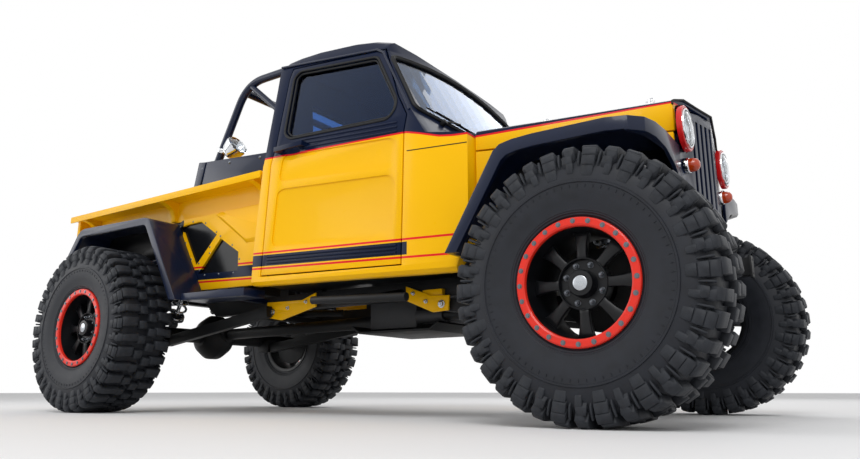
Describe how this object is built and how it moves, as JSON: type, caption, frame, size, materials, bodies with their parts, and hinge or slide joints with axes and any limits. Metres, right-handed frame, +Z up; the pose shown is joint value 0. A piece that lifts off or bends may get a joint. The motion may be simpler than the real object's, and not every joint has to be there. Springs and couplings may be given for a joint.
{
  "type": "lifted off-road pickup",
  "caption": "Lifted single-cab off-road pickup with a short stepside bed, solid axles, beadlock wheels and very large mud tyres; hood, doors, tailgate, steering and wheels move.",
  "frame": {"origin": "on the floor under the middle of the vehicle, at the bottom centre of its bounding box", "axes": "+X forward, the way it drives; +Y to the driver's left; +Z up"},
  "size_m": [4.51, 2.146, 2.1264],
  "materials": {
    "yellow_paint": "gloss",
    "navy_paint": "gloss",
    "chassis_black": "satin",
    "cast_metal": "matte",
    "glass": "gloss",
    "chrome": "gloss",
    "amber_lens": "gloss",
    "red_lens": "gloss",
    "cabin_plastic": "matte",
    "seat_fabric": "matte",
    "rim_black": "satin",
    "tyre": "matte"
  },
  "bodies": {
    "root": {"frame": "chassis_black", "skid_plate": "chassis_black", "engine_block": "cast_metal", "gearbox": "cast_metal", "driveshafts": "chassis_black", "front_axle": "chassis_black", "rear_axle": "chassis_black", "suspension_links": "chassis_black", "link_brackets": "yellow_paint", "coilovers": "chrome", "rock_sliders": "chassis_black", "cab_shell": "yellow_paint", "windshield": "glass", "rear_window": "glass", "dashboard": "cabin_plastic", "seats": "seat_fabric", "grille_panel": "navy_paint", "headlights": "chrome", "turn_signals": "amber_lens", "front_fenders": "yellow_paint", "front_flares": "navy_paint", "bed": "yellow_paint", "bed_side_plates": "navy_paint", "rear_fenders": "navy_paint", "step_bars": "navy_paint", "roll_bar": "navy_paint", "work_lamps": "chrome", "tail_lamps": "red_lens"},
    "hood": {"hood": "yellow_paint"},
    "door_left": {"door_left": "yellow_paint", "door_glass_left": "glass"},
    "door_right": {"door_right": "yellow_paint", "door_glass_right": "glass"},
    "tailgate": {"tailgate": "yellow_paint"},
    "steering_wheel": {"steering_wheel": "cabin_plastic"},
    "tie_rod": {"tie_rod": "chassis_black"},
    "knuckle_left": {"knuckle_left": "chassis_black"},
    "knuckle_right": {"knuckle_right": "chassis_black"},
    "wheel_front_left": {"rim_front_left": "rim_black", "tyre_front_left": "tyre"},
    "wheel_front_right": {"rim_front_right": "rim_black", "tyre_front_right": "tyre"},
    "wheel_rear_left": {"rim_rear_left": "rim_black", "tyre_rear_left": "tyre"},
    "wheel_rear_right": {"rim_rear_right": "rim_black", "tyre_rear_right": "tyre"}
  },
  "joints": [
    {"name": "hood_hinge", "type": "hinge", "parent": "root", "child": "hood", "pos_m": [1.15, 0, 1.362], "axis": [0, -1, 0], "range_deg": [0, 50]},
    {"name": "door_left_hinge", "type": "hinge", "parent": "root", "child": "door_left", "pos_m": [0.776, 0.806, 1], "axis": [0, 0, -1], "range_deg": [0, 65]},
    {"name": "door_right_hinge", "type": "hinge", "parent": "root", "child": "door_right", "pos_m": [0.776, -0.806, 1], "axis": [0, 0, 1], "range_deg": [0, 65]},
    {"name": "tailgate_hinge", "type": "hinge", "parent": "root", "child": "tailgate", "pos_m": [-2.25, 0, 0.98], "axis": [0, -1, 0], "range_deg": [0, 90]},
    {"name": "steering_left", "type": "hinge", "parent": "root", "child": "knuckle_left", "pos_m": [1.74, 0.68, 0.515], "axis": [0, 0, 1], "range_deg": [-25, 25]},
    {"name": "steering_right", "type": "hinge", "parent": "root", "child": "knuckle_right", "pos_m": [1.74, -0.68, 0.515], "axis": [0, 0, 1], "range_deg": [-25, 25]},
    {"name": "tie_rod_slide", "type": "slide", "parent": "root", "child": "tie_rod", "axis": [0, 1, 0], "range_m": [-0.067, 0.067]},
    {"name": "steering_wheel_turn", "type": "hinge", "parent": "root", "child": "steering_wheel", "pos_m": [0.655, 0.33, 1.339], "axis": [-0.8829, 0, 0.4695], "range_deg": [-352, 352]},
    {"name": "wheel_front_left_spin", "type": "hinge", "parent": "knuckle_left", "child": "wheel_front_left", "pos_m": [1.74, 0.89, 0.515], "axis": [0, 1, 0], "continuous": true},
    {"name": "wheel_front_right_spin", "type": "hinge", "parent": "knuckle_right", "child": "wheel_front_right", "pos_m": [1.74, -0.89, 0.515], "axis": [0, 1, 0], "continuous": true},
    {"name": "wheel_rear_left_spin", "type": "hinge", "parent": "root", "child": "wheel_rear_left", "pos_m": [-1.56, 0.89, 0.515], "axis": [0, 1, 0], "continuous": true},
    {"name": "wheel_rear_right_spin", "type": "hinge", "parent": "root", "child": "wheel_rear_right", "pos_m": [-1.56, -0.89, 0.515], "axis": [0, 1, 0], "continuous": true}
  ],
  "couplings": [
    {"joint": "steering_right", "follows": "steering_left", "ratio": 1},
    {"joint": "tie_rod_slide", "follows": "steering_left", "m_per_rad": 0.15},
    {"joint": "steering_wheel_turn", "follows": "steering_left", "ratio": 14}
  ]
}
